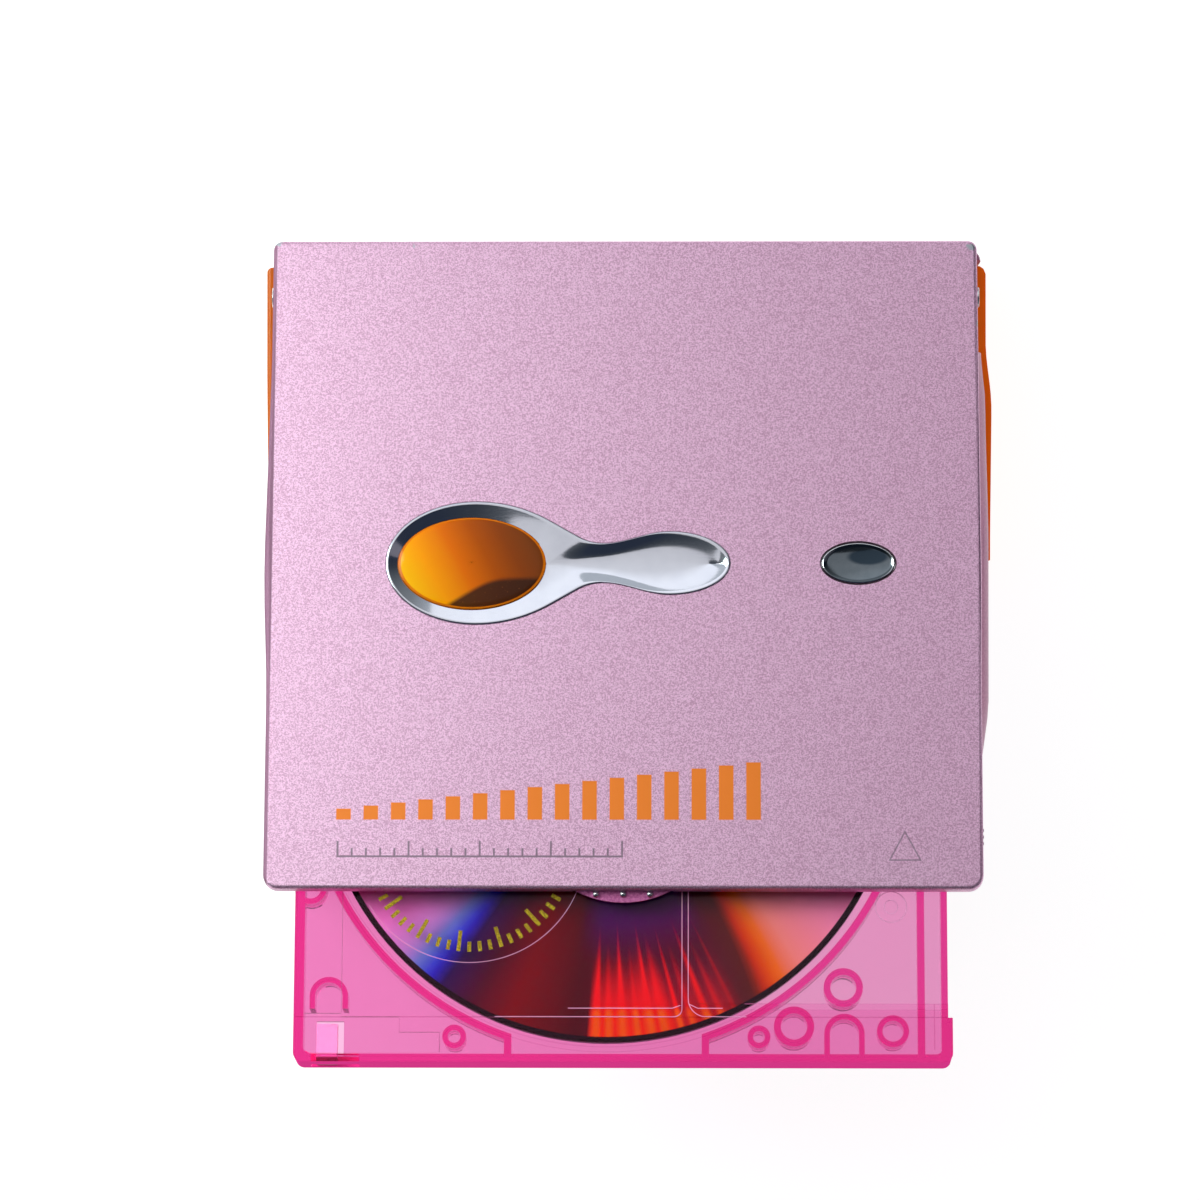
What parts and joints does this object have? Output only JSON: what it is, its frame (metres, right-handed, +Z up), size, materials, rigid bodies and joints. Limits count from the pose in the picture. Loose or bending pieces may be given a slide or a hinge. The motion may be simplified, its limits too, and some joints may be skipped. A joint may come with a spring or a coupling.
{
  "type": "portable minidisc player",
  "caption": "Portable disc player with a hinged pink metal lid ajar, a transparent pink disc cartridge half drawn out, a chrome spoon-shaped bezel and orange side rails.",
  "frame": {"origin": "middle of the case's flat underside, on the surface that the player lies on", "axes": "+Z up through the lid, +Y from the lid's front edge to its hinge, +X to the player's right"},
  "size_m": [0.0823, 0.0918, 0.0329],
  "materials": {
    "lid_metal": "pink anodised, fine blasted",
    "case_plastic": "pearl mauve moulding",
    "frame_metal": "bare die-cast light metal",
    "orange_plastic": "glossy orange",
    "orange_clear": "translucent orange",
    "chrome_trim": "polished chrome",
    "steel_sheet": "satin steel sheet",
    "plated_steel": "polished plated steel",
    "contact_metal": "gold-plated spring strip",
    "board_green": "green circuit board",
    "black_plastic": "black moulding",
    "damper_rubber": "soft black rubber",
    "slider_plastic": "pale moulding",
    "lens_clear": "coated glass lens",
    "pink_clear": "transparent hot pink",
    "disc_surface": "coated disc with rainbow glints"
  },
  "bodies": {
    "case": {"base_shell": "case_plastic", "mid_frame": "frame_metal", "side_rail_left": "orange_plastic", "battery": "steel_sheet", "battery_contacts": "contact_metal", "main_board": "board_green", "board_parts": "black_plastic", "headphone_jack": "black_plastic", "mech_chassis": "steel_sheet", "chassis_dampers": "damper_rubber", "spindle_motor": "steel_sheet", "guide_rods": "plated_steel", "sled_motor": "steel_sheet", "hinge_pins": "plated_steel", "lid_springs": "steel_sheet", "case_screws": "plated_steel"},
    "door": {"battery_door": "orange_clear"},
    "hold": {"hold_switch": "slider_plastic"},
    "opener": {"open_slider": "case_plastic"},
    "platter": {"turntable": "plated_steel"},
    "screw": {"lead_screw": "plated_steel"},
    "sled": {"pickup_sled": "black_plastic", "objective_lens": "lens_clear"},
    "lid": {"lid_cover": "lid_metal", "lid_frame": "case_plastic", "cartridge_holder": "steel_sheet", "chrome_bezel": "chrome_trim", "key_board": "board_green", "key_domes": "contact_metal", "lid_screws": "plated_steel", "tab_studs": "plated_steel"},
    "play": {"play_key": "orange_clear"},
    "stop": {"stop_key": "chrome_trim"},
    "cartridge": {"cartridge_top": "pink_clear", "cartridge_bottom": "pink_clear"},
    "shutter": {"cartridge_shutter": "steel_sheet"},
    "tab": {"write_protect_tab": "slider_plastic"},
    "spinning_disc": {"disc": "disc_surface", "disc_hub": "plated_steel"}
  },
  "joints": [
    {"name": "lid_hinge", "type": "hinge", "parent": "case", "child": "lid", "pos_m": [0, 0.0318, 0.0115], "axis": [1, 0, 0], "range_deg": [0, 12], "stiffness_Nm_per_rad": 0.03, "springref_deg": -68.75},
    {"name": "cartridge_slide", "type": "slide", "parent": "lid", "child": "cartridge", "axis": [0, 0.9781, -0.2079], "range_m": [-0.033, 0.021]},
    {"name": "shutter_slide", "type": "slide", "parent": "cartridge", "child": "shutter", "axis": [0, -0.9781, 0.2079], "range_m": [0, 0.016]},
    {"name": "tab_slide", "type": "slide", "parent": "cartridge", "child": "tab", "axis": [1, 0, 0], "range_m": [0, 0.0022]},
    {"name": "disc_spin", "type": "hinge", "parent": "cartridge", "child": "spinning_disc", "pos_m": [-0.00178, -0.01993, 0.02331], "axis": [0, 0.2079, 0.9781], "continuous": true},
    {"name": "play_press", "type": "slide", "parent": "lid", "child": "play", "axis": [0, -0.2079, -0.9781], "range_m": [0, 0.00025], "stiffness_N_per_m": 2000, "springref_m": -0.0002},
    {"name": "stop_press", "type": "slide", "parent": "lid", "child": "stop", "axis": [0, -0.2079, -0.9781], "range_m": [0, 0.00025], "stiffness_N_per_m": 2000, "springref_m": -0.0002},
    {"name": "battery_door_hinge", "type": "hinge", "parent": "case", "child": "door", "pos_m": [0.03955, 0, 0.0015], "axis": [0, 1, 0], "range_deg": [0, 70]},
    {"name": "hold_slide", "type": "slide", "parent": "case", "child": "hold", "axis": [0, 1, 0], "range_m": [0, 0.002]},
    {"name": "open_slide", "type": "slide", "parent": "case", "child": "opener", "axis": [0, -1, 0], "range_m": [0, 0.002], "stiffness_N_per_m": 150, "springref_m": -0.001},
    {"name": "turntable_spin", "type": "hinge", "parent": "case", "child": "platter", "pos_m": [-0.00178, -0.00026, 0.006], "axis": [0, 0, 1], "continuous": true},
    {"name": "sled_slide", "type": "slide", "parent": "case", "child": "sled", "axis": [1, 0, 0], "range_m": [-0.0033, 0.0132]},
    {"name": "lead_screw_spin", "type": "hinge", "parent": "case", "child": "screw", "pos_m": [0.01, -0.01356, 0.006], "axis": [1, 0, 0], "range_deg": [-1500, 6000]}
  ],
  "couplings": [
    {"joint": "lead_screw_spin", "follows": "sled_slide", "rad_per_m": 7854}
  ]
}
